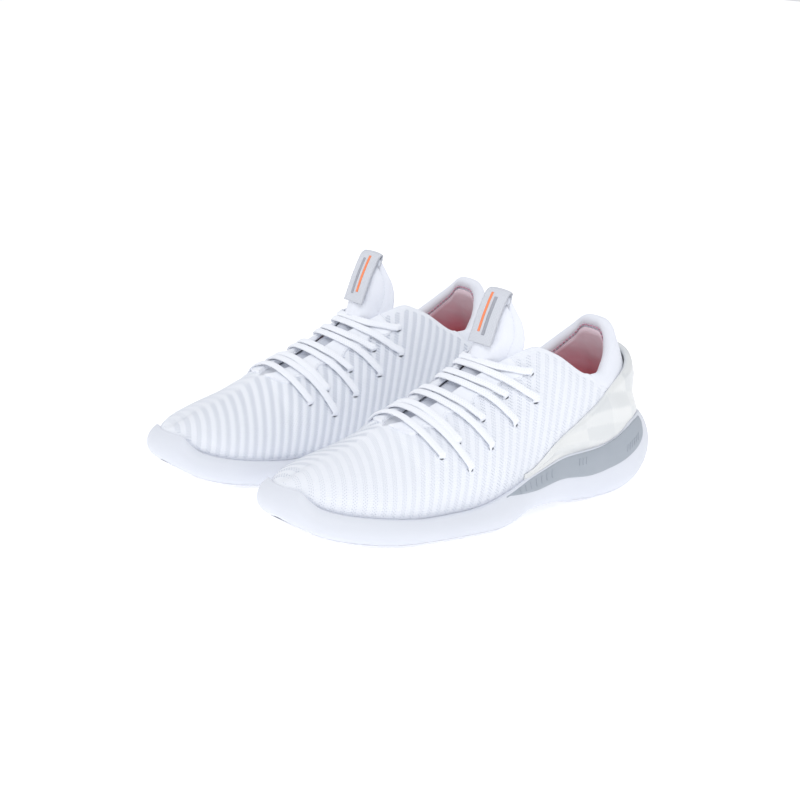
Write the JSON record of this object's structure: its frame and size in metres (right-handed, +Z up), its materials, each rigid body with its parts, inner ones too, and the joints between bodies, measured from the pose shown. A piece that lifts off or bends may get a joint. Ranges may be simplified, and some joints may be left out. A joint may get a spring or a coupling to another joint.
{
  "type": "cheer shoes",
  "caption": "Pair of white cheer shoes: ribbed knit upper, one-piece sole with grey wavy insert, padded tongue and collar, pearly heel strap, flat white lace.",
  "frame": {"origin": "on the ground, in the middle of the pair", "axes": "+Z up, -Y towards the toes, +X towards the left shoe and away from the right shoe"},
  "size_m": [0.2508, 0.282, 0.1337],
  "materials": {
    "white_knit": "ribbed and perforated polyester knit",
    "white_foam": "smooth moulded EVA foam",
    "white_rubber": "smooth moulded rubber",
    "white_textile": "smooth brushed polyester over foam",
    "white_synthetic": "smooth coated synthetic leather, slight gloss",
    "pearl_strap": "pearly satin TPU",
    "grey_foam": "moulded EVA foam",
    "grey_textile": "woven tape",
    "pink_lining": "brushed tricot",
    "insole_foam": "open-cell foam",
    "hidden_board": "stiffened non-woven board",
    "white_lace": "flat braided polyester"
  },
  "bodies": {
    "left_shoe": {"left_outsole_forefoot": "white_rubber", "left_outsole_heel": "white_rubber", "left_midsole": "white_foam", "left_wave_insert_lateral": "grey_foam", "left_wave_insert_medial": "grey_foam", "left_strobel_board": "hidden_board", "left_sock_lining": "pink_lining", "left_toe_puff": "hidden_board", "left_heel_counter": "hidden_board", "left_knit_upper": "white_knit", "left_eyestay_lateral": "white_synthetic", "left_eyestay_medial": "white_synthetic", "left_throat_gusset": "grey_textile", "left_tongue_base": "grey_textile", "left_collar_foam": "insole_foam", "left_heel_collar": "white_textile", "left_heel_strap": "pearl_strap", "left_heel_emblem": "grey_textile", "left_lace": "white_lace"},
    "left_tongue": {"left_tongue_flap": "white_textile", "left_tongue_tab": "grey_textile"},
    "left_insole": {"left_insole_foam": "insole_foam", "left_insole_cover": "pink_lining"},
    "right_shoe": {"right_outsole_forefoot": "white_rubber", "right_outsole_heel": "white_rubber", "right_midsole": "white_foam", "right_wave_insert_lateral": "grey_foam", "right_wave_insert_medial": "grey_foam", "right_strobel_board": "hidden_board", "right_sock_lining": "pink_lining", "right_toe_puff": "hidden_board", "right_heel_counter": "hidden_board", "right_knit_upper": "white_knit", "right_eyestay_lateral": "white_synthetic", "right_eyestay_medial": "white_synthetic", "right_throat_gusset": "grey_textile", "right_tongue_base": "grey_textile", "right_collar_foam": "insole_foam", "right_heel_collar": "white_textile", "right_heel_strap": "pearl_strap", "right_heel_emblem": "grey_textile", "right_lace": "white_lace"},
    "right_tongue": {"right_tongue_flap": "white_textile", "right_tongue_tab": "grey_textile"},
    "right_insole": {"right_insole_foam": "insole_foam", "right_insole_cover": "pink_lining"}
  },
  "joints": [
    {"name": "right_shoe_apart", "type": "slide", "parent": "left_shoe", "child": "right_shoe", "axis": [-1, 0, 0], "range_m": [0, 0.15]},
    {"name": "left_tongue_bend", "type": "hinge", "parent": "left_shoe", "child": "left_tongue", "pos_m": [0.06833, 0.0089, 0.0985], "axis": [0.9998, 0.0192, 0], "range_deg": [-5, 25], "stiffness_Nm_per_rad": 0.05},
    {"name": "left_insole_lift", "type": "hinge", "parent": "left_shoe", "child": "left_insole", "pos_m": [0.07075, -0.11708, 0.0205], "axis": [0.9998, 0.0192, 0], "range_deg": [0, 3]},
    {"name": "right_tongue_bend", "type": "hinge", "parent": "right_shoe", "child": "right_tongue", "pos_m": [-0.06833, 0.0089, 0.0985], "axis": [0.9998, -0.0192, 0], "range_deg": [-5, 25], "stiffness_Nm_per_rad": 0.05},
    {"name": "right_insole_lift", "type": "hinge", "parent": "right_shoe", "child": "right_insole", "pos_m": [-0.07075, -0.11708, 0.0205], "axis": [0.9998, -0.0192, 0], "range_deg": [0, 3]}
  ]
}
